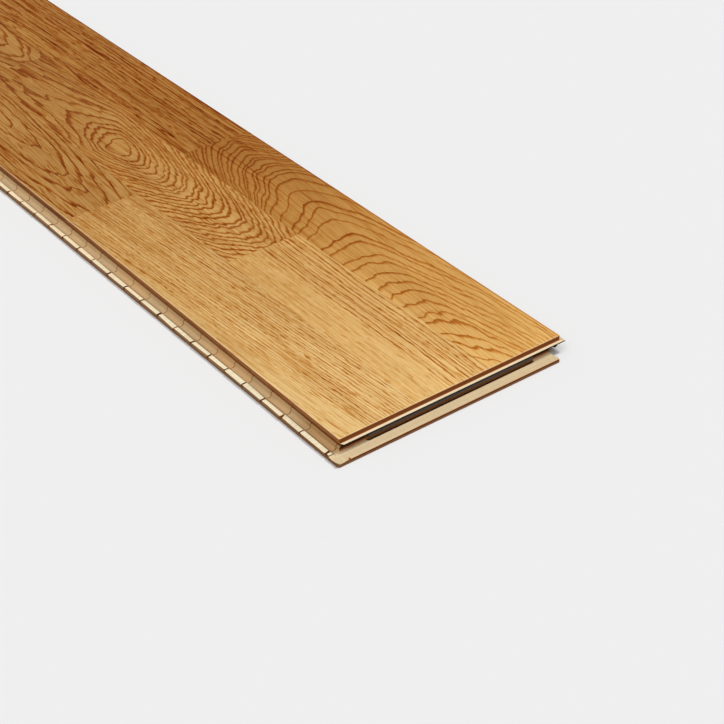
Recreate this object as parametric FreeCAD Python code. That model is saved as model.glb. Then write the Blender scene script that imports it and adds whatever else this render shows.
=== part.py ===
import FreeCAD, Part
import math
import os
import random

from FreeCAD import Vector

# Three-strip engineered oak floorboard with click edges, lying face up.
# +X runs along the board to its lipped short end, +Y to its tongue edge, +Z up.
# The origin is the middle of the underside of the whole board, edges included.

# Face and layers
FACE_LENGTH = 2200.0
FACE_WIDTH = 207.0
OAK_THICKNESS = 3.6
CORE_THICKNESS = 8.4
BACKING_THICKNESS = 2.0
CORNER_RADIUS = 0.8

# Oak staves: the first ones of each strip from the lipped end, and about how long the rest are
LEFT_FIRST_STAVE = 384.0
MIDDLE_FIRST_STAVE = 243.0
MIDDLE_SECOND_STAVE = 429.0
RIGHT_FIRST_STAVE = 419.0
STAVE_LENGTH = 470.0
STRIPS = {
    "left": (LEFT_FIRST_STAVE,),
    "middle": (MIDDLE_FIRST_STAVE, MIDDLE_SECOND_STAVE),
    "right": (RIGHT_FIRST_STAVE,),
}

# Core sticks, laid across the board
END_STICK_TO_FACE = 3.0
SECOND_STICK_WIDTH = 30.0
STICK_PITCH = 24.3
STICK_PITCH_SPREAD = 1.6
STICK_GAP_NARROW = 0.2
STICK_GAP_WIDE = 1.5
END_STICK_GAP = 1.6
STICK_SEED = 7

# Groove edge: lower lip with a channel and a locking ridge
LIP_REACH = 9.5
RIDGE_WIDTH = 3.7
RIDGE_HEIGHT = 4.2
RIDGE_SLOPE_WIDTH = 1.0
RIDGE_EDGE_BREAK = 0.4
CHANNEL_HEIGHT = 3.0
CHANNEL_COVE_RADIUS = 1.9
GROOVE_DEPTH = 3.7
GROOVE_SILL_HEIGHT = 6.6
GROOVE_FLOOR_HEIGHT = 8.6
GROOVE_ROOF_HEIGHT = 9.8

# Tongue edge, which drops into the groove edge of the next board
EDGE_CLEARANCE = 0.3
HEEL_EDGE_BREAK = 1.2
HEEL_SETBACK = 1.8
LOCKING_GROOVE_HEIGHT = 6.4
LOCKING_GROOVE_BREAK = 0.8
LIP_END_CLEARANCE = 0.8

# Lipped short end
NOSE_REACH = 2.6
NOSE_DROP = 0.4
NOSE_THICKNESS = 1.1
END_LIP_REACH = 11.5
END_LIP_ROOT_HEIGHT = 3.4
END_LIP_DIP_HEIGHT = 2.8
END_LIP_DIP_OUT = 5.0
END_LIP_CREST_HEIGHT = 3.8
END_LIP_CREST_OUT = 10.0
END_LIP_CORNER = 1.6

# Locking strip and its stopped slot
SLOT_START = 23.0
SLOT_END_MARGIN = 16.7
SLOT_DEPTH = 7.0
SLOT_HEIGHT = 2.2
SLOT_FLOOR_HEIGHT = 5.8
SLOT_ROUND_RADIUS = 3.0
STRIP_CLEARANCE = 0.1
STRIP_PROUD = 1.8
STRIP_END_CLEARANCE = 1.5
STRIP_EDGE_BREAK = 0.7
FOOT_BITE_REACH = 2.6
FOOT_BITE_HEIGHT = 2.2
FOOT_BITE_RADIUS = 2.0

# Plain short end, which drops onto the lipped end of the next board
NOSE_CLEARANCE = 0.2
CATCH_DEPTH = 1.4

# Levels from the underside
CORE_BOTTOM = BACKING_THICKNESS
CORE_TOP = CORE_BOTTOM + CORE_THICKNESS
FACE_TOP = CORE_TOP + OAK_THICKNESS

# Tongue, heel and recess follow the groove, channel and lip that they enter
TONGUE_REACH = GROOVE_DEPTH - EDGE_CLEARANCE
HEEL_LENGTH = LIP_REACH - RIDGE_WIDTH - RIDGE_SLOPE_WIDTH - 2 * EDGE_CLEARANCE
RECESS = LIP_REACH + LIP_END_CLEARANCE
END_RECESS = END_LIP_REACH + LIP_END_CLEARANCE

# Face edges, with the whole board centred on the origin
FRONT = (FACE_LENGTH - END_LIP_REACH) / 2
BACK = FRONT - FACE_LENGTH
LEFT = (LIP_REACH - FACE_WIDTH - TONGUE_REACH) / 2
RIGHT = LEFT + FACE_WIDTH
LIP_OUTER = LEFT - LIP_REACH
RECESS_WALL = RIGHT - RECESS
LIP_TIP = FRONT + END_LIP_REACH

# Underside of the nose, and where the slot stops along the end
NOSE_TOP = CORE_TOP - NOSE_DROP
NOSE_BOTTOM = NOSE_TOP - NOSE_THICKNESS
SLOT_LEFT = LEFT + SLOT_START
SLOT_RIGHT = RECESS_WALL - SLOT_END_MARGIN


def save(name, shape):
    """Write one node."""
    shape.exportStep("parts/" + name + ".step")


def closed_face(edges):
    """Planar face inside a run of connected edges."""
    return Part.Face(Part.Wire(Part.__sortEdges__(edges)))


def line(start, end):
    return Part.makeLine(start, end)


def fillet_arc(corner, before, after, radius):
    """Arc that rounds a corner, with its two tangent points."""
    back = (before - corner).normalize()
    onward = (after - corner).normalize()
    half_angle = back.getAngle(onward) / 2
    tangent = radius / math.tan(half_angle)
    middle_way = (back + onward).normalize()
    centre = corner + middle_way * (radius / math.sin(half_angle))
    start = corner + back * tangent
    end = corner + onward * tangent
    middle = centre - middle_way * radius
    return start, end, Part.Arc(start, middle, end).toShape()


def rounded_outline(corners):
    """Closed face from (point, radius) corners; a radius of 0 leaves the corner sharp."""
    edges = []
    starts = []
    ends = []
    count = len(corners)
    for index, (point, radius) in enumerate(corners):
        if radius == 0:
            starts.append(point)
            ends.append(point)
            continue
        before = corners[index - 1][0]
        after = corners[(index + 1) % count][0]
        start, end, arc = fillet_arc(point, before, after, radius)
        starts.append(start)
        ends.append(end)
        edges.append(arc)
    for index in range(count):
        edges.append(line(ends[index], starts[(index + 1) % count]))
    return closed_face(edges)


def across(y, z):
    """Point of the section across the board."""
    return Vector(0, y, z)


def core_section():
    """Section of the core across the board: groove edge on the left, tongue edge on the right."""
    ridge_inner = LIP_OUTER + RIDGE_WIDTH
    heel_right = RIGHT - EDGE_CLEARANCE
    heel_left = heel_right - HEEL_LENGTH
    heel_bottom = CHANNEL_HEIGHT + EDGE_CLEARANCE
    tongue_bottom = GROOVE_FLOOR_HEIGHT + EDGE_CLEARANCE
    heel_top = GROOVE_SILL_HEIGHT + EDGE_CLEARANCE
    tongue_top = GROOVE_ROOF_HEIGHT - EDGE_CLEARANCE
    groove_edge = [
        (across(LEFT, CORE_TOP), 0),
        (across(LEFT + GROOVE_DEPTH, GROOVE_ROOF_HEIGHT), 0),
        (across(LEFT + GROOVE_DEPTH, GROOVE_FLOOR_HEIGHT), 0),
        (across(LEFT, GROOVE_SILL_HEIGHT), 0),
        (across(LEFT, CHANNEL_HEIGHT), CHANNEL_COVE_RADIUS),
        (across(ridge_inner + RIDGE_SLOPE_WIDTH, CHANNEL_HEIGHT), 0),
        (across(ridge_inner, RIDGE_HEIGHT), 0),
        (across(LIP_OUTER + RIDGE_EDGE_BREAK, RIDGE_HEIGHT), 0),
        (across(LIP_OUTER, RIDGE_HEIGHT - RIDGE_EDGE_BREAK), 0),
        (across(LIP_OUTER, CORE_BOTTOM), 0),
    ]
    tongue_edge = [
        (across(RECESS_WALL, CORE_BOTTOM), 0),
        (across(RECESS_WALL, LOCKING_GROOVE_HEIGHT - LOCKING_GROOVE_BREAK), 0),
        (across(RECESS_WALL + LOCKING_GROOVE_BREAK, LOCKING_GROOVE_HEIGHT), 0),
        (across(heel_left, LOCKING_GROOVE_HEIGHT), 0),
        (across(heel_left, heel_bottom + HEEL_EDGE_BREAK), 0),
        (across(heel_left + HEEL_EDGE_BREAK, heel_bottom), 0),
        (across(heel_right - HEEL_EDGE_BREAK, heel_bottom), 0),
        (across(heel_right, heel_bottom + HEEL_EDGE_BREAK), 0),
        (across(heel_right, heel_top), 0),
        (across(RIGHT + TONGUE_REACH, tongue_bottom), 0),
        (across(RIGHT + TONGUE_REACH, tongue_top), 0),
        (across(RIGHT, CORE_TOP), 0),
    ]
    return rounded_outline(groove_edge + tongue_edge)


def stick_spans():
    """Start and end of every core stick, from the lipped end back."""
    draw = random.Random(STICK_SEED)
    spans = []
    near = LIP_TIP
    far = FRONT - END_STICK_TO_FACE
    gap = END_STICK_GAP
    last = BACK + NOSE_REACH + NOSE_CLEARANCE
    next_width = SECOND_STICK_WIDTH
    while far - STICK_PITCH > last:
        spans.append((far, near))
        near = far - gap
        far = near - next_width
        next_width = STICK_PITCH + draw.uniform(-STICK_PITCH_SPREAD, STICK_PITCH_SPREAD)
        gap = STICK_GAP_NARROW + (STICK_GAP_WIDE - STICK_GAP_NARROW) * draw.random() ** 3
    spans.append((BACK, near))
    return spans


def along(x, z):
    """Point of the section along the board."""
    return Vector(x, LIP_OUTER - END_LIP_REACH, z)


def lipped_end_section():
    """Section along the board that the lipped end is milled to."""
    nose_tip = FRONT + NOSE_REACH
    far_back = FRONT - FACE_LENGTH / 2
    corners = [
        (along(far_back, 0), 0),
        (along(far_back, FACE_TOP), 0),
        (along(FRONT, FACE_TOP), 0),
        (along(FRONT, CORE_TOP), 0),
        (along(nose_tip, NOSE_TOP), 0),
        (along(nose_tip, NOSE_BOTTOM), 0),
        (along(FRONT, NOSE_BOTTOM), 0),
        (along(FRONT, END_LIP_ROOT_HEIGHT), 0),
        (along(FRONT + END_LIP_DIP_OUT, END_LIP_DIP_HEIGHT), 0),
        (along(FRONT + END_LIP_CREST_OUT, END_LIP_CREST_HEIGHT), 0),
        (along(LIP_TIP, END_LIP_DIP_HEIGHT), 0),
        (along(LIP_TIP, 0), 0),
    ]
    return rounded_outline(corners)


def lipped_end_form():
    """Solid that everything at the lipped end is kept within."""
    sweep = TONGUE_REACH + FACE_WIDTH + LIP_REACH + 2 * END_LIP_REACH
    form = lipped_end_section().extrude(Vector(0, sweep, 0))
    return form.cut(lip_corner()).cut(beside_lip())


def beside_lip():
    """Space under the nose beyond the end lip, where the long edge is recessed."""
    start = Vector(FRONT - HEEL_SETBACK, RECESS_WALL, 0)
    length = HEEL_SETBACK + END_LIP_REACH
    return Part.makeBox(length, RECESS + TONGUE_REACH + END_LIP_REACH, NOSE_BOTTOM, start)


def lip_corner():
    """Wedge that takes the sharp corner off the end lip, where the two lips meet."""
    outline = [
        (Vector(LIP_TIP - END_LIP_CORNER, LIP_OUTER, 0), 0),
        (Vector(LIP_TIP, LIP_OUTER + END_LIP_CORNER, 0), 0),
        (Vector(LIP_TIP + END_LIP_CORNER, LIP_OUTER - END_LIP_CORNER, 0), 0),
    ]
    return rounded_outline(outline).extrude(Vector(0, 0, FACE_TOP))


def stopped_pocket(reach, floor, height, radius):
    """Pocket over the slot's length, out from the end wall or back into it, its corners rounded."""
    outline = [
        (Vector(FRONT, SLOT_LEFT, floor), 0),
        (Vector(FRONT + reach, SLOT_LEFT, floor), radius),
        (Vector(FRONT + reach, SLOT_RIGHT, floor), radius),
        (Vector(FRONT, SLOT_RIGHT, floor), 0),
    ]
    return rounded_outline(outline).extrude(Vector(0, 0, height))


def locking_slot():
    """Slot for the locking strip, with the bite that its cutter leaves in the lip's root."""
    slot = stopped_pocket(-SLOT_DEPTH, SLOT_FLOOR_HEIGHT, SLOT_HEIGHT, SLOT_ROUND_RADIUS)
    bite_height = END_LIP_ROOT_HEIGHT - FOOT_BITE_HEIGHT
    bite = stopped_pocket(FOOT_BITE_REACH, FOOT_BITE_HEIGHT, bite_height, FOOT_BITE_RADIUS)
    return slot.fuse(bite)


def plain_end_milling():
    """What is milled off the core at the plain end: nose rebate, catch groove and lip rebate."""
    sweep = TONGUE_REACH + FACE_WIDTH + LIP_REACH + 2 * END_LIP_REACH
    nose_bottom = NOSE_BOTTOM - NOSE_CLEARANCE
    lip_top = END_LIP_CREST_HEIGHT + EDGE_CLEARANCE
    nose_depth = NOSE_REACH + NOSE_CLEARANCE
    catch_bottom = SLOT_FLOOR_HEIGHT - STRIP_CLEARANCE
    outside = BACK - END_LIP_REACH
    corners = [
        (along(outside, FACE_TOP), 0),
        (along(BACK + nose_depth, FACE_TOP), 0),
        (along(BACK + nose_depth, nose_bottom), 0),
        (along(BACK + NOSE_CLEARANCE, nose_bottom), 0),
        (along(BACK + NOSE_CLEARANCE, catch_bottom + SLOT_HEIGHT), 0),
        (along(BACK + CATCH_DEPTH, catch_bottom + SLOT_HEIGHT), 0),
        (along(BACK + CATCH_DEPTH, catch_bottom), 0),
        (along(BACK + NOSE_CLEARANCE, catch_bottom), 0),
        (along(BACK + NOSE_CLEARANCE, lip_top), 0),
        (along(BACK + END_RECESS, lip_top), 0),
        (along(BACK + END_RECESS, 0), 0),
        (along(outside, 0), 0),
    ]
    return rounded_outline(corners).extrude(Vector(0, sweep, 0))


def core_sticks():
    """Softwood sticks across the board, cut to the click profile on all four edges."""
    section = core_section()
    end_form = lipped_end_form()
    slot = locking_slot()
    plain_end = plain_end_milling()
    sticks = []
    for start, end in stick_spans():
        face = section.copy()
        face.translate(Vector(start, 0, 0))
        stick = face.extrude(Vector(end - start, 0, 0))
        if end > FRONT:
            stick = stick.common(end_form)
        if end > FRONT - SLOT_DEPTH:
            stick = stick.cut(slot)
        if start < BACK + END_RECESS:
            stick = stick.cut(plain_end)
        sticks.extend(stick.Solids)
    return Part.makeCompound(sticks)


def oak_stave(front, back, left, right):
    """One oak stave of the top layer."""
    stave = Part.makeBox(front - back, right - left, OAK_THICKNESS, Vector(back, left, CORE_TOP))
    outer = [edge for edge in stave.Edges if is_board_corner(edge)]
    if outer:
        stave = stave.makeFillet(CORNER_RADIUS, outer)
    return stave


def is_board_corner(edge):
    """Whether an upright edge stands at one of the four corners of the face."""
    first = edge.Vertexes[0].Point
    last = edge.Vertexes[-1].Point
    upright = abs(first.z - last.z) > OAK_THICKNESS / 2
    at_end = min(abs(first.x - FRONT), abs(first.x - BACK)) < EDGE_CLEARANCE
    at_side = min(abs(first.y - LEFT), abs(first.y - RIGHT)) < EDGE_CLEARANCE
    return upright and at_end and at_side


def stave_ends(first_lengths):
    """Where the staves of one strip start and end, from the lipped end back."""
    ends = [FRONT]
    for length in first_lengths:
        ends.append(ends[-1] - length)
    rest = ends[-1] - BACK
    count = max(1, round(rest / STAVE_LENGTH))
    for _ in range(count):
        ends.append(ends[-1] - rest / count)
    return ends


def save_oak_staves():
    """Three strips of staves, one node for each stave."""
    strip_width = FACE_WIDTH / len(STRIPS)
    for row, (name, first_lengths) in enumerate(STRIPS.items()):
        left = LEFT + row * strip_width
        ends = stave_ends(first_lengths)
        for number in range(1, len(ends)):
            stave = oak_stave(ends[number - 1], ends[number], left, left + strip_width)
            save("oak_stave_" + name + "_" + str(number), stave)


def backing_veneer():
    """Veneer under the core, out to the lips and back from the recessed edges."""
    start = Vector(BACK + END_RECESS, LIP_OUTER, 0)
    length = LIP_TIP - start.x
    sheet = Part.makeBox(length, RECESS_WALL - LIP_OUTER, BACKING_THICKNESS, start)
    return sheet.cut(lip_corner())


def locking_strip():
    """Plastic strip in the slot of the lipped end, its outer top edge broken."""
    inner = FRONT - SLOT_DEPTH + STRIP_CLEARANCE
    outer = FRONT + STRIP_PROUD
    bottom = SLOT_FLOOR_HEIGHT
    top = bottom + SLOT_HEIGHT - STRIP_CLEARANCE
    near = SLOT_LEFT + STRIP_END_CLEARANCE
    length = SLOT_RIGHT - SLOT_LEFT - 2 * STRIP_END_CLEARANCE
    corners = [
        (Vector(inner, near, bottom), 0),
        (Vector(inner, near, top), 0),
        (Vector(outer - STRIP_EDGE_BREAK, near, top), 0),
        (Vector(outer, near, top - STRIP_EDGE_BREAK), 0),
        (Vector(outer, near, bottom), 0),
    ]
    return rounded_outline(corners).extrude(Vector(0, length, 0))


def main():
    os.makedirs("parts", exist_ok=True)
    save_oak_staves()
    save("core_sticks", core_sticks())
    save("backing_veneer", backing_veneer())
    save("locking_strip", locking_strip())


main()
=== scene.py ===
import math
import random
from dataclasses import dataclass

import bmesh
import bpy
from bpy.props import FloatProperty, FloatVectorProperty, PointerProperty
from mathutils import Matrix, Vector


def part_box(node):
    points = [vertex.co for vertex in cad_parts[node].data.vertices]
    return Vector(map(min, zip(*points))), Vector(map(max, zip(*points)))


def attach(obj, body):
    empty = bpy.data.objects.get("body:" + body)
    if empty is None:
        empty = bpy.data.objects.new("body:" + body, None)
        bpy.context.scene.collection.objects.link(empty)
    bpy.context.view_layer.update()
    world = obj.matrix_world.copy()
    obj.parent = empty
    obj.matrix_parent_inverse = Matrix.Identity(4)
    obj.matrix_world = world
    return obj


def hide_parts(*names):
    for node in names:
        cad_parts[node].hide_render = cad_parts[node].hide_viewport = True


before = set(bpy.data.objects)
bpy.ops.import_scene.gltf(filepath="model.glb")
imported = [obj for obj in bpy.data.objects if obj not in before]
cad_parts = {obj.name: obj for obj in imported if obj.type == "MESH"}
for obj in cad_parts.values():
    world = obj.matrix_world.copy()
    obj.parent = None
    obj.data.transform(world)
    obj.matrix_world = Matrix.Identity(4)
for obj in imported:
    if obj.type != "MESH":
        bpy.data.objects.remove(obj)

# Dresses the three-strip oak floorboard: staves, core sticks, backing and locking strip.
# Sizes are in metres, in the board's own frame: +X to the lipped end, +Y to the tongue edge.

bl_info = {
    "name": "Three-strip oak floorboard",
    "version": (1, 0, 0),
    "blender": (4, 5, 0),
    "location": "View3D > Sidebar > Floorboard",
    "description": "Makes an engineered oak floorboard with click edges, and a stage to show it on",
    "category": "Object",
}

MM = 0.001
WELD = 0.000001
FLAT_ANGLE = math.radians(1.0)
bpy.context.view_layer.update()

# The oak face: its ends, its long edges and its top, and how far the core's lips reach beyond it
OAK_NODES = sorted(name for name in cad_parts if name.startswith("oak_stave"))
FACE_FRONT = max(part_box(name)[1][0] for name in OAK_NODES)
FACE_BACK = min(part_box(name)[0][0] for name in OAK_NODES)
FACE_LEFT = min(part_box(name)[0][1] for name in OAK_NODES)
FACE_RIGHT = max(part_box(name)[1][1] for name in OAK_NODES)
FACE_TOP = max(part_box(name)[1][2] for name in OAK_NODES)
LIP_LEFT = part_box("core_sticks")[0][1]
LIP_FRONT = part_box("core_sticks")[1][0]

# The groove edge: the ridge on its lip, and the groove under the oak
RIDGE_RIGHT = LIP_LEFT + 4.0 * MM
RIDGE_FOOT = LIP_LEFT + 4.7 * MM
RIDGE_LOW = 3.2 * MM
GROOVE_REACH = 4.0 * MM
GROOVE_SILL = 6.4 * MM

# The lipped end: its lip, the bite in the lip's root, the wall behind it and the nose under the oak
END_LIP_TOP = 5.0 * MM
END_LIP_TIP = LIP_FRONT - 2.0 * MM
END_BITE_REACH = 2.75 * MM
END_BITE_TOP = 2.75 * MM
WALL_LOW = 4.2 * MM
WALL_HIGH = 5.6 * MM
NOSE_LOW = 8.0 * MM
NOSE_HIGH = 9.0 * MM

# Making: how near an edge is to the rim, the joint between sticks, what is sharp, and the draw's seed
RIM_MARGIN = 1.0 * MM
CLOSED_JOINT = 0.15 * MM
SHARP_ANGLE = math.radians(20)
STICK_SEED = 11

# Wear of the ridge: the least part of its gap, and the power that makes deep chips rare
LEAST_GAP = 0.4
RARE = 4

# How far faces of the core go to tan, to painted shade and to painted deep shadow, each a part of 1;
# the tan is partly painted shade
FRESH = (0.0, 0.0, 0.0)
HIDDEN = (0.4, 0.0, 0.0)
STICK_END = (0.5, 1.0, 0.0)
CHANNEL = (0.8, 0.0, 0.0)
OUTER_SIDE = (0.6, 0.7, 0.0)
UNDER_SILL = (0.75, 0.0, 0.0)
GROOVE_FLOOR = (0.9, 0.25, 0.0)
GROOVE_ROOF = (0.9, 0.7, 0.4)
END_LIP_FLOOR = (0.55, 0.0, 0.0)
END_LIP_CORNER = (0.8, 0.7, 0.3)
END_BITE = (0.5, 1.0, 0.85)
UNDER_NOSE = (0.5, 1.0, 0.9)

# Small marks, in millimetres back from the lipped end and in from the groove edge of the face
KNOT_FAR = 209.0
KNOT_RIGHT = 51.0
NICK_FAR = -10.8
NICK_RIGHT = 1.0


@dataclass(frozen=True)
class Figure:
    """How growth rings meet one stave's face, in millimetres from its near left corner."""

    # The tree's heart, the width of its rings, and how it rises on both sides of that place
    heart_along: float = 0.0
    heart_across: float = -60.0
    heart_depth: float = 35.0
    ring_width: float = 4.0
    rise_near: float = 0.0
    rise_far: float = 0.0
    slack: float = 0.0
    # How the rings lean, bow, round and waver
    lean: float = 0.0
    settle: float = 1000.0
    bow: float = 0.0
    skew: float = 0.0
    turn: float = 0.0
    rounding: float = 8.0
    swell: float = 0.0
    wave: float = 3.0
    ripple: float = 0.6
    # From which distance they crowd, and within which they stay clear of lines
    crowd_from: float = 1000.0
    crowd: float = 0.0
    clear: float = -10.0
    # Lines, pores and flecks: how strong, how broken and how thick
    lines: float = 0.8
    broken: float = 0.55
    thick: float = 1.0
    pores: float = 1.0
    flecks: float = 0.0
    # Paleness, how it changes along the stave, partly as a painted fall-off of light, and how orange
    # it is
    tone: float = 0.6
    fade: float = 0.0
    warmth: float = 0.0


FIGURES = {
    "oak_stave_left_1": Figure(heart_across=-70, heart_depth=40, ring_width=2.6, lean=-0.054,
                               wave=4.0, clear=98.0, lines=2.1, broken=0.5, pores=1.1, thick=0.36,
                               flecks=0.12, tone=1.04, fade=-0.135),
    "oak_stave_left_2": Figure(heart_along=206, heart_across=45, heart_depth=0, ring_width=6.9,
                               rise_near=0.142, rise_far=0.18, lean=0.07, wave=8.0, ripple=1.5,
                               lines=1.8, broken=0.4, pores=1.7, thick=0.78, tone=0.3),
    "oak_stave_left_3": Figure(heart_across=95, heart_depth=30, ring_width=4.0, lean=0.02,
                               tone=0.5),
    "oak_stave_left_4": Figure(heart_along=-30, heart_across=30, heart_depth=0, ring_width=5.0,
                               rise_far=0.2, wave=6.0, lines=0.9, broken=0.3, pores=0.5, tone=0.3),
    "oak_stave_left_5": Figure(heart_across=-50, ring_width=4.5, lean=0.03, tone=0.8),
    "oak_stave_middle_1": Figure(heart_across=-45, heart_depth=25, ring_width=3.8, lean=0.01,
                                 wave=6.0, clear=78.0, lines=2.8, broken=0.2, pores=1.1, thick=0.38,
                                 flecks=0.12, tone=1.05, fade=-0.14, warmth=0.35),
    "oak_stave_middle_2": Figure(heart_along=224, heart_across=32, heart_depth=2, ring_width=3.9,
                                 rise_near=0.4, rise_far=0.75, slack=0.02, clear=8.0, lean=-0.05,
                                 bow=-1.4, skew=-0.6, rounding=10.0, wave=8.0, ripple=2.2,
                                 lines=2.0, broken=0.2, pores=1.5, thick=0.8, tone=0.69, fade=-0.13,
                                 warmth=0.2),
    "oak_stave_middle_3": Figure(heart_along=160, heart_across=53, heart_depth=0, ring_width=4.2,
                                 rise_near=0.16, rise_far=0.2, wave=6.0, lines=1.4, broken=0.3,
                                 pores=0.5, tone=0.16),
    "oak_stave_middle_4": Figure(heart_across=-40, ring_width=3.8, lean=-0.03, tone=0.7),
    "oak_stave_middle_5": Figure(heart_along=300, heart_across=36, heart_depth=0, ring_width=4.4,
                                 rise_near=0.2, rise_far=0.3, wave=6.0, lines=0.9, broken=0.3,
                                 pores=0.5, tone=0.4),
    "oak_stave_right_1": Figure(heart_along=-40, heart_across=17, heart_depth=0, ring_width=5.0,
                                rise_far=0.26, lean=0.065, wave=9.0, crowd_from=96, crowd=1.6,
                                bow=2.1, skew=3.4, turn=-0.0097, rounding=10.0, swell=0.045,
                                settle=365, ripple=4.5, thick=0.75, lines=1.15, broken=0.15,
                                pores=0.6, tone=1.0, fade=-0.23, warmth=0.85),
    "oak_stave_right_2": Figure(heart_along=140, heart_across=9, heart_depth=0, ring_width=4.4,
                                rise_near=0.05, rise_far=0.05, wave=11.0, ripple=1.5, lines=2.0,
                                broken=0.6, pores=3.4, thick=0.8, tone=0.14, warmth=0.6),
    "oak_stave_right_3": Figure(heart_along=260, heart_across=30, heart_depth=0, ring_width=4.4,
                                rise_near=0.24, rise_far=0.15, wave=6.0, lines=0.9, broken=0.3,
                                pores=0.5, tone=0.45),
    "oak_stave_right_4": Figure(heart_across=-55, ring_width=4.4, lean=0.04, tone=0.75),
    "oak_stave_right_5": Figure(heart_along=460, heart_across=34, heart_depth=0, ring_width=5.0,
                                rise_near=0.22, wave=6.0, lines=0.9, broken=0.3, pores=0.5,
                                tone=0.5),
}


class Value:
    """A number, colour or vector that leaves a node. Arithmetic on it adds Math nodes."""

    def __init__(self, graph, socket):
        self.graph = graph
        self.socket = socket

    def out(self, name):
        """Another output of the same node."""
        return Value(self.graph, self.socket.node.outputs[name])

    def __add__(self, other):
        return self.graph.math("ADD", self, other)

    def __radd__(self, other):
        return self.graph.math("ADD", other, self)

    def __sub__(self, other):
        return self.graph.math("SUBTRACT", self, other)

    def __rsub__(self, other):
        return self.graph.math("SUBTRACT", other, self)

    def __mul__(self, other):
        return self.graph.math("MULTIPLY", self, other)

    def __rmul__(self, other):
        return self.graph.math("MULTIPLY", other, self)

    def __truediv__(self, other):
        return self.graph.math("DIVIDE", self, other)

    def __pow__(self, other):
        return self.graph.math("POWER", self, other)


class Graph:
    """The nodes of one material or of the world."""

    def __init__(self, owner):
        owner.use_nodes = True
        self.tree = owner.node_tree
        self.tree.nodes.clear()

    def node(self, kind, settings=None, sockets=None, output=0):
        """Adds a node: its settings first, then a value or a link for each named socket."""
        made = self.tree.nodes.new(kind)
        for name, value in (settings or {}).items():
            setattr(made, name, value)
        for name, value in (sockets or {}).items():
            if isinstance(value, Value):
                self.tree.links.new(value.socket, made.inputs[name])
            else:
                made.inputs[name].default_value = value
        if not made.outputs:
            return None
        return Value(self, made.outputs[output])

    def math(self, operation, *values):
        """One Math node on up to three values."""
        return self.node("ShaderNodeMath", {"operation": operation}, dict(enumerate(values)))

    def vector(self, x, y, z):
        """Three numbers as one vector."""
        return self.node("ShaderNodeCombineXYZ", None, {"X": x, "Y": y, "Z": z})

    def attribute(self, name):
        """The three numbers that a mesh carries under a name."""
        found = self.node("ShaderNodeAttribute", {"attribute_name": name}, None, "Vector")
        return self.split(found)

    def split(self, vector):
        """The three numbers of a vector."""
        parts = self.node("ShaderNodeSeparateXYZ", None, {"Vector": vector})
        return parts.out("X"), parts.out("Y"), parts.out("Z")

    def place(self):
        """Where a point of the piece is, in millimetres: x, y and z."""
        spot = self.node("ShaderNodeTexCoord", None, None, "Object")
        scaled = self.node("ShaderNodeVectorMath", {"operation": "SCALE"},
                           {0: spot, "Scale": 1.0 / MM})
        return self.split(scaled)

    def facing(self):
        """How far a face looks along each axis, whichever way."""
        normal = self.node("ShaderNodeNewGeometry", None, None, "Normal")
        turned = self.node("ShaderNodeVectorMath", {"operation": "ABSOLUTE"}, {0: normal})
        return self.split(turned)

    def noise(self, x, y, z, detail=0.0, roughness=0.5):
        """Soft noise about zero; the coordinates say how long its blotches are."""
        sockets = {"Vector": self.vector(x, y, z), "Scale": 1.0, "Detail": detail,
                   "Roughness": roughness}
        return self.node("ShaderNodeTexNoise", None, sockets, "Fac") - 0.5

    def chance(self, number):
        """A steady random number from 0 to 1 for each whole number."""
        return self.node("ShaderNodeTexWhiteNoise", {"noise_dimensions": "1D"}, {"W": number},
                         "Value")

    def step(self, value, low, high):
        """0 below low, 1 above high, smooth between."""
        sockets = {"Value": value, "From Min": low, "From Max": high}
        return self.node("ShaderNodeMapRange", {"interpolation_type": "SMOOTHSTEP"}, sockets)

    def spot(self, along, across, inner, outer):
        """1 within an inner distance, 0 beyond an outer one."""
        apart = self.math("SQRT", along * along + across * across)
        return 1.0 - self.step(apart, inner, outer)

    def mix(self, factor, first, second):
        """Colour between two colours."""
        sockets = {0: factor, 6: first, 7: second}
        return self.node("ShaderNodeMix", {"data_type": "RGBA", "clamp_factor": True}, sockets, 2)

    def mix_number(self, factor, first, second):
        """Number between two numbers."""
        return self.node("ShaderNodeMix", {"data_type": "FLOAT"}, {0: factor, 2: first, 3: second})

    def stain(self, amount, wood, tint):
        """Wood under a clear stain, which is thin where the amount is 0 and whole where it is 1."""
        coat = self.node("ShaderNodeMath", {"operation": "MINIMUM", "use_clamp": True},
                         {0: amount, 1: 1.0})
        passed = self.vector(*(self.math("POWER", part, coat) for part in tint))
        return self.node("ShaderNodeVectorMath", {"operation": "MULTIPLY"}, {0: wood, 1: passed})

    def shade(self, wood, amount):
        """Colour of wood made brighter or darker."""
        return self.node("ShaderNodeVectorMath", {"operation": "SCALE"},
                         {0: wood, "Scale": amount})

    def bump(self, height, distance, strength):
        """Normal of fine relief, whose full height is a distance in metres."""
        return self.node("ShaderNodeBump", None,
                         {"Height": height, "Distance": distance, "Strength": strength})

    def surface(self, sockets):
        """Finishes a material with one principled surface."""
        shader = self.node("ShaderNodeBsdfPrincipled", None, sockets)
        self.node("ShaderNodeOutputMaterial", None, {"Surface": shader})


def colour(rgb):
    """A colour as a socket takes it, with full cover."""
    return (*rgb, 1.0)


def fresh_material(name):
    """An empty material in place of any old one, with the graph of its nodes."""
    old = bpy.data.materials.get(name)
    if old:
        bpy.data.materials.remove(old)
    made = bpy.data.materials.new(name)
    return made, Graph(made)


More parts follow.
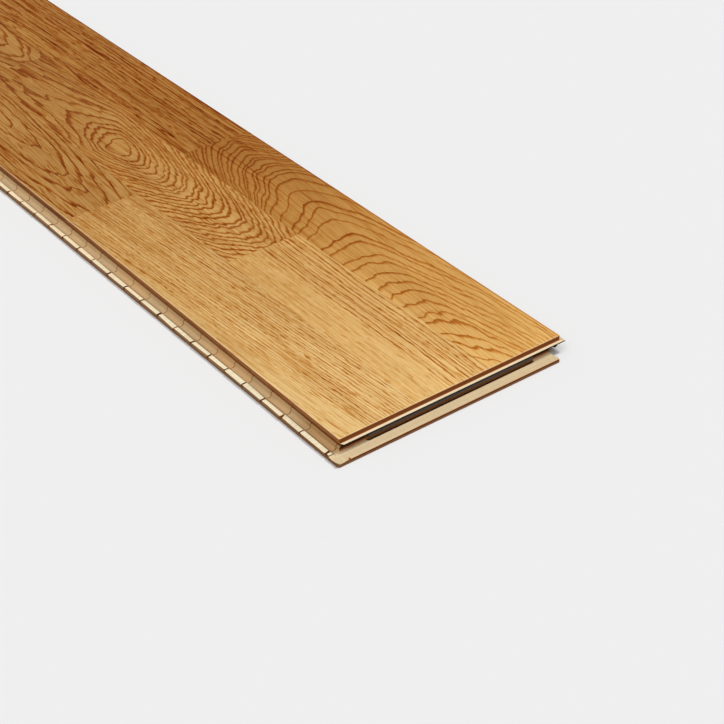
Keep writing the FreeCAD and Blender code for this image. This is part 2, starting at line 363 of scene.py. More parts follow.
def oak_material(look):
    """Lacquered oak. Rings are drawn round the heart that each stave's mesh carries."""
    made, graph = fresh_material("lacquered_oak_figured")
    x, y, z = graph.place()
    far = FACE_FRONT / MM - x
    right = y - FACE_LEFT / MM
    depth = FACE_TOP / MM - z
    heart_far, heart_right, heart_depth = graph.attribute("stave_heart")
    ring_width, rise_near, rise_far = graph.attribute("stave_rings")
    lean, crowd_from, crowd = graph.attribute("stave_drift")
    bow, skew, turn = graph.attribute("stave_bow")
    lines, wave, broken = graph.attribute("stave_look")
    tone, fade, start = graph.attribute("stave_tone")
    seed, slack, clear = graph.attribute("stave_seed")
    open_pores, warmth, flecks = graph.attribute("stave_pores")
    ripple, rounding, swell = graph.attribute("stave_arcs")
    settle, thick, _ = graph.attribute("stave_settle")

    straight = far - heart_far
    settled = graph.math("MINIMUM", straight, settle)
    aside = right - heart_right - lean * settled

    def grain(length, width, detail=1.0):
        """Noise in blotches of a length along the fibre and a width across it."""
        return graph.noise(far / length, aside / width, depth / width + seed * 7.3, detail)

    # Distance from the heart, and how steeply it changes across the face
    rounding = rounding + swell * graph.math("MAXIMUM", straight, 0.0)
    dome = graph.math("SQRT", aside * aside + rounding * rounding)
    tilt = skew + turn * settled
    reach = straight + bow * (dome - rounding) + tilt * aside
    beyond = graph.math("MAXIMUM", reach, 0.0)
    rise = graph.mix_number(graph.math("GREATER_THAN", reach, 0.0), rise_near * -1.0,
                            rise_far / (1.0 + slack * beyond))
    below = heart_depth + depth + rise * reach
    ringed = 1.0 - graph.math("GREATER_THAN", bow, 0.0)
    radius = graph.math("SQRT", ringed * aside * aside + below * below) + 0.001
    across = (ringed * aside + below * rise * (bow * aside / dome + tilt)) / radius
    along = below * rise / radius
    steep = graph.math("SQRT", across * across + along * along) + 0.03
    radius = radius + wave * (grain(140.0, 2.0 * rounding) + 0.45 * grain(90.0, 0.7 * rounding))
    radius = radius + 10.0 * ripple / rounding * grain(24.0, 0.45 * rounding, 0.0)
    crowded = graph.math("MAXIMUM", radius - crowd_from, 0.0) * crowd
    closer = 1.0 + crowd * graph.math("GREATER_THAN", radius, crowd_from)

    # Each ring has a line of early wood, placed and weighted by chance
    count = (radius + crowded) / ring_width
    ring = graph.math("FLOOR", count)
    luck = graph.chance(ring + seed * 113.0)
    weight = graph.chance(ring + seed * 71.0 + 0.5)
    gap = ring_width / (steep * closer)
    off = (count - ring - 0.25 - 0.5 * luck) * gap + 2.2 * grain(8.0, 1.5)
    width = graph.math("MINIMUM", (1.4 + 1.2 * weight) / steep ** 0.7, 0.5 * gap)
    width = graph.math("MINIMUM", width, 4.5) * thick
    band = graph.step(off, 0.0 - width, 0.0) * (1.0 - graph.step(off, 0.3 * thick, thick))
    thin = graph.step(grain(70.0, 4.0), -0.2, 0.14)
    kept = graph.step(radius, clear - 2.0, clear + 2.0)
    faint = 1.3 - 0.7 * graph.math("MINIMUM", steep, 1.2)
    early = band * kept * lines * faint * (0.65 + 0.35 * weight) * (1.0 - broken * thin)

    # Open pores: short and long dashes along the fibre, thicker on the ground in some zones
    zone = graph.step(grain(260.0, 9.0), -0.18, 0.14)
    short = graph.step(grain(16.0, 1.4), 0.08, 0.15)
    long = graph.step(grain(70.0, 1.5), 0.09, 0.16)
    pores = (0.5 * short + 0.38 * long) * (0.5 + 0.4 * zone + 0.3 * band) * open_pores
    fibre = grain(60.0, 1.3, 2.0)
    streak = grain(120.0, 4.0, 2.0)
    cloud = grain(150.0, 24.0)

    # Colour of the face: paleness, warmth, ray flecks, lines, smears, pores and one knot
    # Paleness changes along the stave, partly as a painted fall-off of light
    paleness = tone + fade * (far - start) / 100.0
    dark = graph.math("MAXIMUM", 0.9 - paleness, 0.0)
    smear = graph.step(grain(100.0, 3.2), 0.08, 0.26) * dark
    shade = paleness + 0.35 * cloud + 0.15 * streak + 0.7 * fibre
    wood = graph.stain(1.0 - 0.8 * shade, look.light, look.deep)
    wood = graph.stain(warmth, wood, look.warm)
    ray = graph.noise((far + 2.5 * right) / 9.0, (right - 0.5 * far) / 4.0, seed)
    wood = graph.mix(flecks * graph.step(ray, 0.06, 0.16), wood, colour(look.pale_tint))
    wood = graph.stain(early, wood, look.line)
    wood = graph.stain(0.6 * smear, wood, look.line)
    wood = graph.stain(pores, wood, look.pore_and_edge_shade)
    knot = graph.spot((far - KNOT_FAR) / 2.0, right - KNOT_RIGHT, 0.5, 1.6)
    wood = graph.stain(knot, wood, look.pore_and_edge_shade)

    # Painted highlight on the eased rim and in a pale band along the lipped end and groove edge,
    # painted shade at the tongue edge; sawn sides, stained darker partly as painted shade, and sawn
    # ends
    ahead, sideways, up = graph.facing()
    eased = graph.step(up, 0.6, 0.8) * (1.0 - graph.step(up, 0.95, 0.99))
    inside = graph.math("MINIMUM", far, right)
    eased = eased * (1.0 - graph.step(inside, 0.6, 1.0))
    rim_band_highlight = 0.25 * (1.0 - graph.step(inside, 0.8, 1.8))
    wood = graph.mix(graph.math("MAXIMUM", eased, rim_band_highlight), wood, colour(look.pale_tint))
    # Painted shade along the tongue edge, in the pores' tint
    tongue_edge_shade = 1.0 - graph.step(FACE_RIGHT / MM - y, 0.6, 2.2)
    wood = graph.stain(0.6 * tongue_edge_shade, wood, look.pore_and_edge_shade)
    # The sawn sides darker, partly as painted shade
    wood = graph.stain(graph.step(sideways, 0.6, 0.9), wood, look.side)
    specks = graph.noise(far / 0.8, right / 0.5, depth / 1.4, 1.0)
    end_wood = graph.mix(0.5 + 1.5 * specks, colour(look.end_grain), colour(look.end_pore))
    wood = graph.mix(graph.step(ahead, 0.6, 0.9), wood, end_wood)

    gloss = look.roughness + 0.2 * pores + 0.06 * cloud
    relief = graph.bump(0.0 - pores - 0.5 * early, distance=0.06 * MM, strength=0.5)
    graph.surface({"Base Color": wood, "Roughness": gloss, "Normal": relief,
                   "Specular IOR Level": 0.02})
    return made


def softwood_material(look):
    """Bare softwood sticks with their grain across the board; each has its own tone. Upright faces,
    the groove and narrow recesses carry painted shade and painted shadow.
    """
    made, graph = fresh_material("core_softwood_milled")
    x, y, z = graph.place()
    middle, half, turn = graph.attribute("stick")
    tan_and_shade, painted_shade, painted_deep_shadow = graph.attribute("face_tint_and_shade")
    tone = graph.chance(middle)
    ahead = x - FACE_FRONT / MM
    inside = y - FACE_LEFT / MM
    past_foot = y - RIDGE_FOOT / MM
    from_middle = graph.math("ABSOLUTE", x - middle)
    behind = 1.0 - graph.step(ahead, -1.0, 0.0)

    # Growth rings round a heart below the stick, its fibre, and the ripple that the cutters left
    drift = graph.noise(x / 90.0, y / 160.0, z / 40.0, 1.0)
    aside = x - middle + 60.0 * (turn - 0.5) + 5.0 * drift
    below = z + 26.0 * turn + 4.0
    radius = graph.math("SQRT", aside * aside + below * below)
    wobble = graph.noise(x / 3.0, y / 40.0, z / 3.0, 2.0)
    within = graph.math("FRACT", radius / 2.4 + 0.9 * wobble)
    late = graph.step(within, 0.35, 0.9) * (1.0 - graph.step(within, 0.93, 1.0))
    fibre = graph.noise(x / 0.7, y / 22.0, z / 0.7, 2.0)
    mill = graph.noise(x / 12.0, y / 0.8, z / 6.0, 1.0)

    # Pale wood going to tan by face, evening out further back; the tan is the wood's own on the lip
    # top and painted shade in the channel and groove
    tan_and_shade = tan_and_shade + 0.5 * (0.4 - tan_and_shade) * graph.step(0.0 - ahead, 150.0, 400.0)
    wood = graph.mix(late * 0.45, colour(look.pale), colour(look.late))
    wood = graph.mix(tan_and_shade * (0.7 + 0.4 * tone) + 0.3 * fibre, wood, colour(look.tan))

    # Painted shade along the ridge's foot; the end lip darker, its root kept lighter as painted light
    # against the shade there; the first sticks darker
    at_foot = 1.0 - graph.step(graph.math("ABSOLUTE", past_foot - 0.4), 0.3, 1.0)
    foot = at_foot * (1.0 - graph.step(ahead, 0.0, 3.0)) * tan_and_shade
    lip_top = END_LIP_TOP / MM
    lip = graph.step(ahead, 0.5, 3.0) * (1.0 - graph.step(z, lip_top - 0.5, lip_top))
    first = behind * (1.0 - graph.step(0.0 - ahead, 30.0, 60.0)) * graph.step(tan_and_shade, 0.1, 0.3)
    light = (0.92 + 0.1 * tone) * (1.0 - 0.65 * foot) * (1.0 - 0.14 * lip) * (1.0 - 0.08 * first)
    wood = graph.shade(wood, light * (1.0 + 0.25 * fibre + 0.2 * mill))
    wood = graph.stain(0.1 * first, wood, look.brown_for_shade_and_marks)

    # Joints between sticks, and painted shade on the floor of the gaps in the ridge
    joint = graph.step(from_middle, half - 0.5, half - 0.1)
    upper = graph.step(inside, -4.5, -1.5) * graph.chance(middle + 0.5)
    wood = graph.stain(joint * (0.12 + 1.1 * upper), wood, look.brown_for_shade_and_marks)
    gap = graph.step(from_middle, half - 1.6, half - 0.8) * (1.0 - graph.step(past_foot, -0.7, -0.1))
    gap_floor = RIDGE_LOW / MM + 0.2
    low = 1.0 - graph.step(z, gap_floor, gap_floor + 0.5)
    wood = graph.stain(gap * low * behind, wood, look.brown_for_shade_and_marks)

    # A painted shadow line where the nose meets the oak, and a nick in the end lip
    seam_shadow = graph.step(ahead, 0.0, 0.05) * (1.0 - graph.step(ahead, 0.3, 0.8))
    wood = graph.stain(seam_shadow * graph.step(z, NOSE_LOW / MM, NOSE_HIGH / MM), wood, look.brown_for_shade_and_marks)
    nick = graph.spot(ahead + NICK_FAR, inside - NICK_RIGHT, 0.5, 1.1)
    wood = graph.stain(nick, wood, look.brown_for_shade_and_marks)

    # Painted shade on upright faces and in the mouth of the groove, deepening inward; painted deep
    # shadow in narrow recesses and on the upper part of the wall under the nose
    wall = painted_shade * (1.0 - graph.step(graph.math("ABSOLUTE", ahead), 0.3, 0.6))
    brown = graph.shade(look.brown_for_shade_and_marks, (0.9 + 0.5 * fibre) * (1.0 + 0.4 * wall))
    wood = graph.mix(painted_shade * (1.0 + 3.0 * graph.step(inside, 0.3, 2.5)), wood, brown)
    mouth = graph.step(painted_shade, 0.1, 0.2) * graph.step(inside, 0.0, 0.3) * (1.0 - wall)
    deeper = (0.4 + 0.4 * first) * graph.step(inside, 0.3, 3.0)
    wood = graph.stain(0.9 * mouth * graph.step(inside, 1.2, 3.0), wood, look.brown_for_shade_and_marks)
    wood = graph.stain(mouth * deeper, wood, look.brown_for_shade_and_marks)
    wood = graph.shade(wood, 1.0 + 0.35 * mouth)
    # Painted deep shadow on the upper part of the wall under the nose, as in narrow recesses
    high = graph.step(z, WALL_LOW / MM, WALL_HIGH / MM)
    wood = graph.mix(graph.math("MAXIMUM", painted_deep_shadow, wall * high), wood, colour(look.painted_deep_shadow))

    relief = graph.bump(fibre + 0.5 * mill - 0.3 * late, distance=0.1 * MM, strength=0.35)
    graph.surface({"Base Color": wood, "Roughness": 0.72 + 0.2 * fibre, "Normal": relief,
                   "Specular IOR Level": 0.1})
    return made


def backing_material(look):
    """Rotary-cut softwood veneer with broad wild grain along the board."""
    made, graph = fresh_material("backing_softwood_veneer")
    x, y, z = graph.place()
    swell = graph.noise(x / 520.0, y / 60.0, z / 60.0, 2.0)
    ripple = graph.noise(x / 90.0, y / 14.0, z / 14.0, 2.0)
    count = 11.0 * swell + 1.2 * ripple + y / 30.0
    within = graph.math("FRACT", count)
    late = graph.step(within, 0.3, 0.85) * (1.0 - graph.step(within, 0.9, 1.0))
    fibre = graph.noise(x / 60.0, y / 0.9, z / 0.9, 2.0)
    check = graph.step(graph.noise(x / 45.0, y / 0.6, z / 3.0, 0.0), 0.2, 0.26)

    wood = graph.mix(late * 0.55, colour(look.pale), colour(look.late))
    wood = graph.shade(wood, 1.0 + 0.35 * fibre + 0.25 * swell)
    wood = graph.mix(check * 0.45, wood, colour(look.cut))
    along, across, _ = graph.facing()
    upright = graph.step(along + across, 0.7, 0.95)
    wood = graph.mix(upright * 0.9, wood, graph.shade(look.cut, 1.0 + 0.6 * fibre))

    relief = graph.bump(fibre - 0.6 * check, distance=0.12 * MM, strength=0.4)
    graph.surface({"Base Color": wood, "Roughness": 0.75 + 0.15 * fibre, "Normal": relief,
                   "Specular IOR Level": 0.3})
    return made


def plastic_material(look):
    """Satin black plastic with fine drawn streaks along the strip."""
    made, graph = fresh_material("black_plastic_satin")
    x, y, z = graph.place()
    streak = graph.noise(x / 0.3, y / 30.0, z / 0.3, 2.0)
    dust = graph.noise(x / 2.0, y / 3.0, z / 2.0, 3.0)
    pale_tint = [1.5 * part for part in look.plastic]
    base = graph.mix(0.5 + streak + dust, colour(look.plastic), colour(pale_tint))
    relief = graph.bump(streak, distance=0.04 * MM, strength=0.3)
    graph.surface({"Base Color": base, "Roughness": look.roughness + 0.2 * dust + 0.1 * streak,
                   "Normal": relief})
    return made


def seen_directly(graph):
    """1 for rays from the camera, in a reflection or through glass, else 0."""
    path = graph.node("ShaderNodeLightPath")
    glossy = path.out("Is Glossy Ray")
    through = path.out("Is Transmission Ray")
    return graph.math("MAXIMUM", path.out("Is Camera Ray"), graph.math("MAXIMUM", glossy, through))


def floor_material(look):
    """Pale floor as the camera sees it; it throws back less light than it shows."""
    made, graph = fresh_material("studio_floor")
    seen = seen_directly(graph)
    paint = graph.mix(seen, colour(look.floor_bounce), colour(look.floor))
    shader = graph.node("ShaderNodeBsdfDiffuse", None, {"Color": paint})
    graph.node("ShaderNodeOutputMaterial", None, {"Surface": shader})
    return made


def joined_copy(node):
    """A node's loose triangles, copied and joined into flat faces."""
    shape = bmesh.new()
    shape.from_mesh(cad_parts[node].data)
    bmesh.ops.remove_doubles(shape, verts=shape.verts[:], dist=WELD)
    bmesh.ops.dissolve_limit(shape, angle_limit=FLAT_ANGLE, verts=shape.verts[:],
                             edges=shape.edges[:])
    return shape


def break_edges(shape, edges, width, segments):
    """Rounds edges by a small width."""
    if edges:
        bmesh.ops.bevel(shape, geom=edges, offset=width, offset_type="OFFSET",
                        affect="EDGES", segments=segments, profile=0.5, material=-1,
                        clamp_overlap=True)


def finish_piece(shape, node, name, material):
    """Makes the piece that stands for a node."""
    bmesh.ops.recalc_face_normals(shape, faces=shape.faces[:])
    mesh = bpy.data.meshes.new(name)
    shape.to_mesh(mesh)
    shape.free()
    piece = bpy.data.objects.new(name, mesh)
    bpy.context.scene.collection.objects.link(piece)
    mesh.materials.append(material)
    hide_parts(node)
    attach(piece, "root")


def carry(shape, name, values):
    """Lets every vertex carry three numbers for the material."""
    layer = shape.verts.layers.float_vector.new(name)
    for vertex in shape.verts:
        vertex[layer] = values


def on_face_rim(edge):
    """Whether an edge runs along the rim of the whole face."""
    middle = (edge.verts[0].co + edge.verts[1].co) / 2
    return (min(middle.x - FACE_BACK, FACE_FRONT - middle.x) < RIM_MARGIN
            or min(middle.y - FACE_LEFT, FACE_RIGHT - middle.y) < RIM_MARGIN)


def make_stave(node, look, material):
    """One oak stave with an eased rim and a hairline joint to its neighbours."""
    shape = joined_copy(node)
    level = FACE_TOP - WELD
    top = [edge for edge in shape.edges if min(v.co.z for v in edge.verts) > level]
    rim = [edge for edge in top if on_face_rim(edge)]
    joints = [edge for edge in top if not on_face_rim(edge)]
    break_edges(shape, rim, look.rim, segments=3)
    joints = [edge for edge in joints if edge.is_valid]
    break_edges(shape, joints, look.joint, segments=1)

    low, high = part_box(node)
    start = (FACE_FRONT - high[0]) / MM
    side = (low[1] - FACE_LEFT) / MM
    seed = OAK_NODES.index(node) + 1.0
    figure = FIGURES[node]
    carried = {
        "stave_heart": (start + figure.heart_along, side + figure.heart_across, figure.heart_depth),
        "stave_rings": (figure.ring_width, figure.rise_near, figure.rise_far),
        "stave_drift": (figure.lean, figure.crowd_from, figure.crowd),
        "stave_bow": (figure.bow, figure.skew, figure.turn),
        "stave_look": (figure.lines, figure.wave, figure.broken),
        "stave_seed": (seed, figure.slack, figure.clear),
        "stave_pores": (figure.pores, figure.warmth, figure.flecks),
        "stave_arcs": (figure.ripple, figure.rounding, figure.swell),
        "stave_settle": (figure.settle, figure.thick, 0.0),
        "stave_tone": (figure.tone, figure.fade, start),
    }
    for name, values in carried.items():
        carry(shape, name, values)
    finish_piece(shape, node, node.replace("oak_stave", "stave"), material)


def separate_sticks(shape):
    """The corners of each stick of the core, from the lipped end back."""
    waiting = set(shape.verts)
    found = []
    for start in shape.verts:
        if start not in waiting:
            continue
        waiting.remove(start)
        group = [start]
        open_ends = [start]
        while open_ends:
            vertex = open_ends.pop()
            for edge in vertex.link_edges:
                other = edge.other_vert(vertex)
                if other in waiting:
                    waiting.remove(other)
                    group.append(other)
                    open_ends.append(other)
        found.append(group)
    return sorted(found, key=lambda group: -max(vertex.co.x for vertex in group))


def face_tint_and_shade(face):
    """How far a face of the core goes to tan, to painted shade and to painted deep shadow."""
    spot = face.calc_center_median()
    ahead, aside, up = face.normal
    if spot.x > FACE_FRONT and aside < -0.3 and spot.z > END_BITE_TOP:
        return END_LIP_CORNER if spot.y < RIDGE_RIGHT else END_LIP_FLOOR
    if spot.x > FACE_FRONT:
        if spot.z < END_BITE_TOP and spot.x < FACE_FRONT + END_BITE_REACH:
            return END_BITE
        if up > 0.8:
            return END_LIP_FLOOR if spot.z < END_LIP_TOP else FRESH
        return STICK_END if spot.x > END_LIP_TIP else UNDER_NOSE
    if abs(ahead) > 0.7:
        return STICK_END
    if spot.y < FACE_LEFT:
        on_top = up > 0.9 or up > 0.4 and aside < 0.0
        if spot.y >= RIDGE_RIGHT:
            return CHANNEL
        if aside < -0.7:
            return OUTER_SIDE
        return FRESH if on_top else CHANNEL
    if spot.y < FACE_LEFT + GROOVE_REACH:
        if spot.z < GROOVE_SILL:
            return UNDER_SILL
        return GROOVE_FLOOR if up > 0.4 else GROOVE_ROOF
    return HIDDEN


def on_ridge(vertex):
    """Whether a corner of a stick belongs to the ridge on its lip."""
    return vertex.co.y < RIDGE_RIGHT and vertex.co.z > RIDGE_LOW


def close_joints(sticks):
    """Brings the ends of neighbouring sticks nearly together, apart from their ridges."""
    for near, far in zip(sticks, sticks[1:]):
        near_end = min(vertex.co.x for vertex in near)
        far_end = max(vertex.co.x for vertex in far)
        shift = (near_end - far_end - CLOSED_JOINT) / 2
        for vertex in near:
            if vertex.co.x < near_end + WELD and not on_ridge(vertex):
                vertex.co.x -= shift
        for vertex in far:
            if vertex.co.x > far_end - WELD and not on_ridge(vertex):
                vertex.co.x += shift


def wear_ridge(stick, look, draw):
    """Sets the ridge of a stick back from its ends and chips its corners."""
    middle = sum(vertex.co.x for vertex in stick) / len(stick)
    for vertex in stick:
        if on_ridge(vertex) and vertex.co.x < FACE_FRONT:
            back = look.ridge_gap * (LEAST_GAP + draw.random())
            vertex.co.x += math.copysign(back, middle - vertex.co.x)
            vertex.co.z -= look.wear * draw.random() ** RARE
            vertex.co.y += look.wear * draw.random() ** RARE


def make_core(look, material):
    """All core sticks, each with ridge ends set back and chipped, broken edges and its own tone."""
    shape = joined_copy("core_sticks")
    draw = random.Random(STICK_SEED)
    sticks = separate_sticks(shape)
    close_joints(sticks)
    for stick in sticks:
        wear_ridge(stick, look, draw)
    sharp = [edge for edge in shape.edges
             if edge.is_convex and edge.calc_face_angle(0.0) > SHARP_ANGLE]
    break_edges(shape, sharp, look.edge_break, segments=1)

    # For the material: a stick's middle, half width and chance number, and each face's tan, painted
    # shade and painted deep shadow
    layer = shape.verts.layers.float_vector.new("stick")
    for stick in separate_sticks(shape):
        low = min(vertex.co.x for vertex in stick)
        high = max(vertex.co.x for vertex in stick)
        values = ((low + high) / 2 / MM, (high - low) / 2 / MM, draw.random())
        for vertex in stick:
            vertex[layer] = values
    bmesh.ops.recalc_face_normals(shape, faces=shape.faces[:])
    layer = shape.faces.layers.float_vector.new("face_tint_and_shade")
    for face in shape.faces:
        face[layer] = face_tint_and_shade(face)
    finish_piece(shape, "core_sticks", "core", material)


class FloorboardOakSettings(bpy.types.PropertyGroup):
    """Looks of the oak face."""

    light: FloatVectorProperty(
        name="Light wood", description="Colour of the palest streaks",
        default=(0.955, 0.675, 0.305), subtype="COLOR", min=0.0, max=1.0)
    deep: FloatVectorProperty(
        name="Deep wood", description="Stain of the darkest streaks",
        default=(0.4, 0.262, 0.14), subtype="COLOR", min=0.0, max=1.0)
    warm: FloatVectorProperty(
        name="Warm stain", description="Stain of the staves that are more orange",
        default=(1.0, 0.89, 0.7), subtype="COLOR", min=0.0, max=1.0)
    line: FloatVectorProperty(
        name="Growth line", description="Stain of the early wood in each ring",
        default=(0.52, 0.235, 0.062), subtype="COLOR", min=0.0, max=1.0)
    # The pores' tint also serves the painted shade along the tongue edge
    pore_and_edge_shade: FloatVectorProperty(
        name="Pores", description="Stain of the open pores",
        default=(0.65, 0.38, 0.155), subtype="COLOR", min=0.0, max=1.0)
    # Pale tint of the ray flecks, and of the painted highlight on the eased rim
    pale_tint: FloatVectorProperty(
        name="Flecks and rim highlight", description="Pale rim where the face's edges are eased",
        default=(0.95, 0.72, 0.42), subtype="COLOR", min=0.0, max=1.0)
    # The sides' stain is partly painted shade
    side: FloatVectorProperty(
        name="Sawn side", description="Stain of the sawn long sides, partly painted shade",
        default=(0.76, 0.46, 0.34), subtype="COLOR", min=0.0, max=1.0)
    end_grain: FloatVectorProperty(
        name="End grain", description="Colour of the sawn ends",
        default=(0.4, 0.12, 0.035), subtype="COLOR", min=0.0, max=1.0)
    end_pore: FloatVectorProperty(
        name="End pores", description="Darker specks of the sawn ends",
        default=(0.3, 0.085, 0.02), subtype="COLOR", min=0.0, max=1.0)
    roughness: FloatProperty(
        name="Lacquer roughness", description="Roughness of the satin lacquer",
        default=0.42, min=0.0, max=1.0, subtype="FACTOR")
    rim: FloatProperty(
        name="Eased rim", description="Rounding of the face's outer edges",
        default=0.28 * MM, min=0.0, unit="LENGTH", precision=5)
    joint: FloatProperty(
        name="Joint groove", description="Break on the edges where staves meet",
        default=0.07 * MM, min=0.0, unit="LENGTH", precision=5)


class FloorboardCoreSettings(bpy.types.PropertyGroup):
    """Looks of the core sticks."""

    pale: FloatVectorProperty(
        name="Early wood", description="Pale colour of the softwood",
        default=(0.97, 0.86, 0.6), subtype="COLOR", min=0.0, max=1.0)
    late: FloatVectorProperty(
        name="Late wood", description="Darker lines of the softwood",
        default=(0.86, 0.64, 0.38), subtype="COLOR", min=0.0, max=1.0)
    # The tan is the wood's own on the lip top, and painted shade in the channel and groove
    tan: FloatVectorProperty(
        name="Tanned wood", description="Tan of the wood, and painted shade in the channel",
        default=(0.94, 0.58, 0.245), subtype="COLOR", min=0.0, max=1.0)
    # Brown for painted shade on upright faces, in the groove's mouth, on the ridge gaps' floor and
    # where the nose meets the oak, and for joints and a nick
    brown_for_shade_and_marks: FloatVectorProperty(
        name="Painted shade and joints", description="Brown of painted shade, joints and nicks",
        default=(0.4, 0.15, 0.045), subtype="COLOR", min=0.0, max=1.0)
    # Near-black for painted deep shadow in narrow recesses and under the nose
    painted_deep_shadow: FloatVectorProperty(
        name="Painted deep shadow", description="Painted deep shadow in narrow recesses",
        default=(0.04, 0.015, 0.007), subtype="COLOR", min=0.0, max=1.0)
    edge_break: FloatProperty(
        name="Edge break", description="Rounding of the sticks' edges",
        default=0.12 * MM, min=0.0, unit="LENGTH", precision=5)
    ridge_gap: FloatProperty(
        name="Ridge gap", description="How far the ridge of a stick stops short of its ends",
        default=0.6 * MM, min=0.0, unit="LENGTH", precision=5)
    wear: FloatProperty(
        name="Ridge wear", description="Most that a ridge corner is chipped back",
        default=0.9 * MM, min=0.0, unit="LENGTH", precision=5)


class FloorboardBackingSettings(bpy.types.PropertyGroup):
    """Looks of the backing veneer."""

    pale: FloatVectorProperty(
        name="Early wood", description="Pale colour of the veneer",
        default=(0.72, 0.5, 0.28), subtype="COLOR", min=0.0, max=1.0)
    late: FloatVectorProperty(
        name="Late wood", description="Darker figure of the veneer",
        default=(0.47, 0.26, 0.11), subtype="COLOR", min=0.0, max=1.0)
    cut: FloatVectorProperty(
        name="Cut grain", description="Edges and checks of the veneer",
        default=(0.42, 0.17, 0.06), subtype="COLOR", min=0.0, max=1.0)
    edge_break: FloatProperty(
        name="Edge break", description="Rounding of the veneer's edges",
        default=0.15 * MM, min=0.0, unit="LENGTH", precision=5)


class FloorboardStripSettings(bpy.types.PropertyGroup):
    """Looks of the locking strip."""

    plastic: FloatVectorProperty(
        name="Plastic", description="Colour of the locking strip",
        default=(0.045, 0.044, 0.045), subtype="COLOR", min=0.0, max=1.0)
    roughness: FloatProperty(
        name="Roughness", description="Roughness of the plastic",
        default=0.34, min=0.0, max=1.0, subtype="FACTOR")
    edge_break: FloatProperty(
        name="Edge break", description="Rounding of the strip's edges",
        default=0.15 * MM, min=0.0, unit="LENGTH", precision=5)


class FloorboardStageSettings(bpy.types.PropertyGroup):
    """Floor, light and camera."""

    floor: FloatVectorProperty(
        name="Floor", description="Floor as the camera sees it",
        default=(0.89, 0.89, 0.89), subtype="COLOR", min=0.0, max=1.0)
    floor_bounce: FloatVectorProperty(
        name="Floor bounce", description="Floor as other surfaces see it",
        default=(0.2, 0.2, 0.2), subtype="COLOR", min=0.0, max=1.0)
    key: FloatProperty(
        name="Key light", description="Strength of the soft sun from the right", default=1.5,
        min=0.0)
    key_spread: FloatProperty(
        name="Key spread", description="How wide the soft sun is",
        default=math.radians(16), subtype="ANGLE")
    fill: FloatProperty(
        name="Fill light", description="Strength of the wide light from above", default=1.2,
        min=0.0)
    fill_spread: FloatProperty(
        name="Fill spread", description="How wide the fill light is",
        default=math.radians(70), subtype="ANGLE")
    sky: FloatProperty(
        name="Sky", description="Even light from all round", default=0.2, min=0.0)
    lens: FloatProperty(
        name="Lens", description="Focal length in millimetres", default=89.58, min=1.0,
        unit="CAMERA")


class FLOORBOARD_OT_oak_staves(bpy.types.Operator):
    """Make the oak staves of the face"""

    bl_idname = "floorboard.oak_staves"
    bl_label = "Oak staves"

    def execute(self, context):
        look = context.scene.floorboard_oak
        material = oak_material(look)
        for node in OAK_NODES:
            make_stave(node, look, material)
        return {"FINISHED"}


class FLOORBOARD_OT_core_sticks(bpy.types.Operator):
    """Make the softwood sticks of the core"""

    bl_idname = "floorboard.core_sticks"
    bl_label = "Core sticks"

    def execute(self, context):
        look = context.scene.floorboard_core
        make_core(look, softwood_material(look))
        return {"FINISHED"}


class FLOORBOARD_OT_backing_veneer(bpy.types.Operator):
    """Make the veneer on the back"""

    bl_idname = "floorboard.backing_veneer"
    bl_label = "Backing veneer"

    def execute(self, context):
        look = context.scene.floorboard_backing
        shape = joined_copy("backing_veneer")
        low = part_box("backing_veneer")[0][2] + WELD
        under = [edge for edge in shape.edges if max(v.co.z for v in edge.verts) < low]
        break_edges(shape, under, look.edge_break, segments=1)
        finish_piece(shape, "backing_veneer", "backing",
                     backing_material(look))
        return {"FINISHED"}


class FLOORBOARD_OT_locking_strip(bpy.types.Operator):
    """Make the plastic strip in the lipped end"""

    bl_idname = "floorboard.locking_strip"
    bl_label = "Locking strip"

    def execute(self, context):
        look = context.scene.floorboard_strip
        shape = joined_copy("locking_strip")
        break_edges(shape, shape.edges[:], look.edge_break, segments=2)
        finish_piece(shape, "locking_strip", "strip", plastic_material(look))
        return {"FINISHED"}


# Camera: the point of the face that it looks at, and how it stands to that
CAMERA_TARGET = Vector((FACE_FRONT - 0.064937, FACE_LEFT + 0.069216, FACE_TOP))
CAMERA_DISTANCE = 1.332086
CAMERA_HEADING = math.radians(143.5786)
CAMERA_TILT = math.radians(35.1909)
CAMERA_ROLL = math.radians(1.1406)
SENSOR_WIDTH = 36.0
NEAREST = 0.05
FARTHEST = 100.0

# Floor and light: half the floor's width, and where the two suns stand
FLOOR_HALF = 12.0
KEY_FROM = Vector((0.02, 0.45, 0.89))
FILL_FROM = Vector((0.3, -0.3, 0.9))


def make_camera(lens):
    """The camera that sees the board as the photo shows it."""
    look = Vector((math.cos(CAMERA_HEADING) * math.cos(CAMERA_TILT),
                   math.sin(CAMERA_HEADING) * math.cos(CAMERA_TILT), -math.sin(CAMERA_TILT)))
    level = look.cross(Vector((0.0, 0.0, 1.0))).normalized()
    upright = level.cross(look)
    up = upright * math.cos(CAMERA_ROLL) + level * math.sin(CAMERA_ROLL)
    aside = look.cross(up)
    turn = Matrix((aside, up, -look)).transposed().to_4x4()
    data = bpy.data.cameras.new("camera")
    data.lens = lens
    data.sensor_width = SENSOR_WIDTH
    data.clip_start = NEAREST
    data.clip_end = FARTHEST
    camera = bpy.data.objects.new("camera", data)
    camera.matrix_world = Matrix.Translation(CAMERA_TARGET - look * CAMERA_DISTANCE) @ turn
    bpy.context.scene.collection.objects.link(camera)
    bpy.context.scene.camera = camera


def make_floor(look):
    """A wide pale floor under the board."""
    shape = bmesh.new()
    bmesh.ops.create_grid(shape, x_segments=1, y_segments=1, size=FLOOR_HALF)
    mesh = bpy.data.meshes.new("floor")
    shape.to_mesh(mesh)
    shape.free()
    floor = bpy.data.objects.new("floor", mesh)
    bpy.context.scene.collection.objects.link(floor)
    mesh.materials.append(floor_material(look))


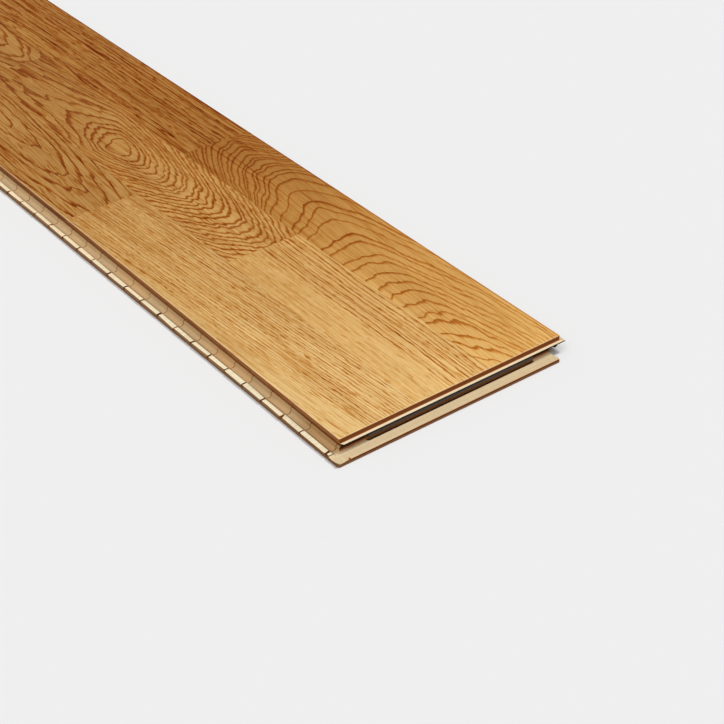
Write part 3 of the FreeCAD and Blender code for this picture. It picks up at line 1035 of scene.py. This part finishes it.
def make_sun(name, strength, spread, source):
    """A soft sun that shines from a side."""
    data = bpy.data.lights.new(name, "SUN")
    data.energy = strength
    data.angle = spread
    sun = bpy.data.objects.new(name, data)
    sun.rotation_mode = "QUATERNION"
    sun.rotation_quaternion = source.to_track_quat("Z", "Y")
    bpy.context.scene.collection.objects.link(sun)


def make_lights(look):
    """Two suns, and a sky that looks as pale as the floor but lights less."""
    make_sun("key", look.key, look.key_spread, KEY_FROM)
    make_sun("fill", look.fill, look.fill_spread, FILL_FROM)
    world = bpy.data.worlds.new("studio")
    bpy.context.scene.world = world
    graph = Graph(world)
    grey = (look.sky, look.sky, look.sky)
    paint = graph.mix(seen_directly(graph), colour(grey), colour(look.floor))
    sky = graph.node("ShaderNodeBackground", None, {"Color": paint, "Strength": 1.0})
    graph.node("ShaderNodeOutputWorld", None, {"Surface": sky})


class FLOORBOARD_OT_stage(bpy.types.Operator):
    """Make the floor, the light and the camera"""

    bl_idname = "floorboard.stage"
    bl_label = "Stage"

    def execute(self, context):
        look = context.scene.floorboard_stage
        make_floor(look)
        make_lights(look)
        make_camera(look.lens)
        context.scene.view_settings.view_transform = "Standard"
        return {"FINISHED"}


SETTINGS = {
    "floorboard_oak": FloorboardOakSettings,
    "floorboard_core": FloorboardCoreSettings,
    "floorboard_backing": FloorboardBackingSettings,
    "floorboard_strip": FloorboardStripSettings,
    "floorboard_stage": FloorboardStageSettings,
}
STEPS = {
    "floorboard_oak": FLOORBOARD_OT_oak_staves,
    "floorboard_core": FLOORBOARD_OT_core_sticks,
    "floorboard_backing": FLOORBOARD_OT_backing_veneer,
    "floorboard_strip": FLOORBOARD_OT_locking_strip,
    "floorboard_stage": FLOORBOARD_OT_stage,
}


class FLOORBOARD_PT_parts(bpy.types.Panel):
    """Lists the board's parts with their settings"""

    bl_idname = "FLOORBOARD_PT_parts"
    bl_label = "Floorboard"
    bl_space_type = "VIEW_3D"
    bl_region_type = "UI"
    bl_category = "Floorboard"

    def draw(self, context):
        for name, step in STEPS.items():
            box = self.layout.box()
            box.operator(step.bl_idname)
            settings = getattr(context.scene, name)
            for key in SETTINGS[name].__annotations__:
                box.prop(settings, key)


CLASSES = (*SETTINGS.values(), *STEPS.values(), FLOORBOARD_PT_parts)


def register():
    """Adds the settings, the steps and the panel."""
    for one in CLASSES:
        bpy.utils.register_class(one)
    for name, group in SETTINGS.items():
        setattr(bpy.types.Scene, name, PointerProperty(type=group))


def unregister():
    """Takes them away again."""
    for name in SETTINGS:
        delattr(bpy.types.Scene, name)
    for one in reversed(CLASSES):
        bpy.utils.unregister_class(one)


def main():
    """Makes the board and its stage."""
    register()
    bpy.ops.floorboard.oak_staves()
    bpy.ops.floorboard.core_sticks()
    bpy.ops.floorboard.backing_veneer()
    bpy.ops.floorboard.locking_strip()
    bpy.ops.floorboard.stage()


if __name__ == "__main__":
    main()
